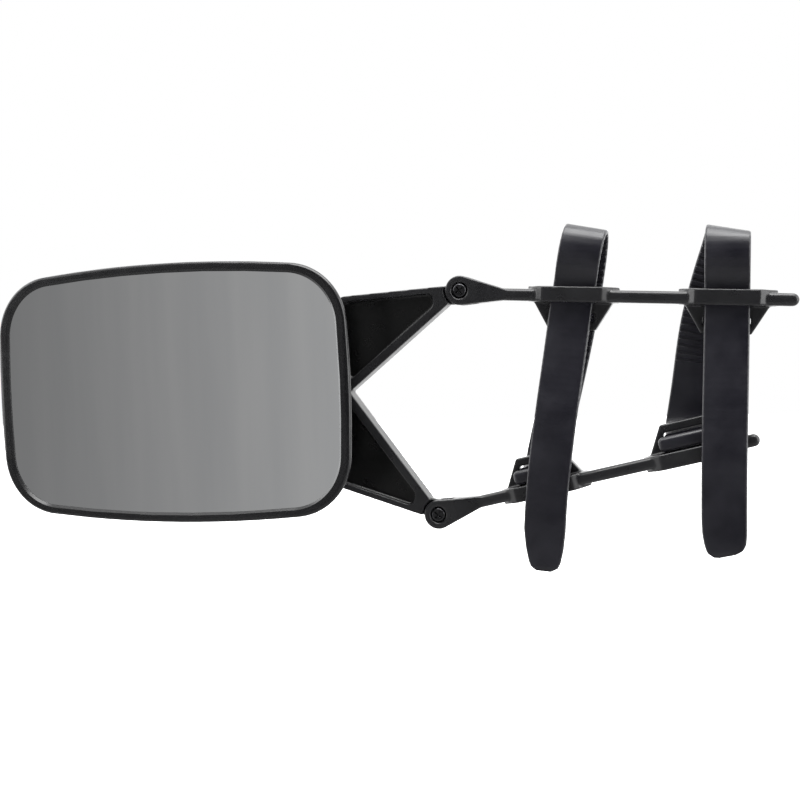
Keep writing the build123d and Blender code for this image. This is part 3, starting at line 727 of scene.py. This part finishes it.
PLAIN_END = 24  # untoothed length at the free end, and toothed length below the upper rod behind
SEAM_RISE = 2.0  # rear seam above the last station below the upper rod
HIDDEN_SEAM = 1.5  # front seam below the upper rod's axis, behind the bridge
REAR_STRETCH = 26  # length of the rear run above its foot, where its two pieces meet and its listed blend towards the lower arm starts
REAR_HELD = 3  # and how far below the rear run's start its listed blend ends
FRONT_STRETCH = (36, 4)  # heights above the lower rod where the front run's listed blend towards the lower arm starts and ends; the first is also where its lower piece starts


def strap_spans(foot, reach, at):
    """A strap's pieces: (label, first, last, blend), a blend being (body, body, start, end)."""
    total = reach[-1]
    rear_foot = reach[len(REAR_START) - 1]
    seam = reach[len(REAR_START)] + SEAM_RISE
    middle = rear_foot + REAR_STRETCH
    upper_rod = step(UPPER_PIVOT, UPPER_ANGLE, FEET[foot], -ROD_OFFSET, 0).z / MM
    lower_rod = step(LOWER_PIVOT, LOWER_ANGLE, FEET[foot], ROD_OFFSET, 0).z / MM
    top = reach_below(at, seam, total, upper_rod - HIDDEN_SEAM)
    start, low = [reach_below(at, seam, total, lower_rod + height) for height in FRONT_STRETCH]
    return [
        ("front", seam, top, None),
        ("front_upper", top, start, ("upper_arm", "bracket", top, start)),
        ("front_lower", start, total, ("bracket", "lower_arm", start, low)),
        ("rear_upper", middle, seam, ("upper_arm", "bracket", seam, middle)),
        ("rear_lower", 0, middle, ("bracket", "lower_arm", middle, rear_foot - REAR_HELD)),
    ]


def make_straps(material):
    for name, (foot, *shape, tip) in STRAPS.items():
        reach, at = smooth_path(strap_stations(foot, *shape))
        total = reach[-1]
        toothed = (reach[len(REAR_START)] - PLAIN_END, total - PLAIN_END)
        for label, first, last, blend in strap_spans(foot, reach, at):
            span = strap_span(f"{name}_{label}", at, total, first, last, toothed, tip, material)
            if blend:
                one, other, start, end = blend
                at(start).xyz * MM
                at(end).xyz * MM
                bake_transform(span)
            else:
                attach(span, "upper_arm")
                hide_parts(name)
        bar = strap_bar(f"{name}_bar", foot, material)
        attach(bar, "lower_arm")


# ---- foot pads ----
PAD_HALF_W = 15.0
PAD_HALF_H = 5.4
PAD_CORNER = 2.0
PAD_RIBS = 7
PAD_RIB_H = 0.6
PAD_PLAIN = 1.6  # unribbed length at each end
PAD_SECTIONS = 84


def pad_sections(middle, along, upward):
    """Sections across a pad from end to end, with rounded ribs on its rear face."""
    sections = []
    ribbed = PAD_HALF_W - PAD_PLAIN
    for i in range(PAD_SECTIONS + 1):
        x = between(i, 0, PAD_SECTIONS, -PAD_HALF_W, PAD_HALF_W)
        from_end = PAD_HALF_W - abs(x)
        tuck = 0.0
        if from_end < PAD_CORNER:
            tuck = PAD_CORNER - sqrt(max(0.0, PAD_CORNER**2 - (PAD_CORNER - from_end) ** 2))
        rib = 0.0
        if abs(x) < ribbed:
            phase = (x + ribbed) / (2 * ribbed) * PAD_RIBS
            rib = PAD_RIB_H * abs(sin(pi * phase)) ** 0.6
        rear = PAD_THICK / MM - PAD_RIB_H + rib
        soft = 0.45 * max(0.0, 1 - from_end / 0.6)
        half = PAD_HALF_H - tuck
        ring = rounded_ring(-half, half, 0, rear - soft, 0.5)
        sections.append((middle + along * (x * MM), upward * MM, Vector((0, 1, 0)) * MM, ring))
    return sections


def make_pads(material):
    arms = {"upper": (UPPER_PIVOT, UPPER_ANGLE, -1), "lower": (LOWER_PIVOT, LOWER_ANGLE, 1)}
    for arm, (pivot, angle, side) in arms.items():
        a = radians(angle)
        along = Vector((cos(a), 0, sin(a)))
        upward = Vector((-sin(a), 0, cos(a)))
        for foot, which in zip(FEET, ("inner", "outer")):
            middle = step(pivot, angle, foot, side * (ROD_OFFSET + PAD_OFFSET), ARM_Y + FOOT_DEPTH)
            name = f"{arm}_{which}_pad"
            pad = loft_rings(f"{name}_ribbed", pad_sections(middle, along, upward), material, 50)
            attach(pad, f"{arm}_arm")
            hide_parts(name)


make_camera()
make_studio()
materials = make_materials()
finish_cad_nodes(materials)
make_straps(materials["strap_rubber"])
make_pads(materials["pad_rubber"])
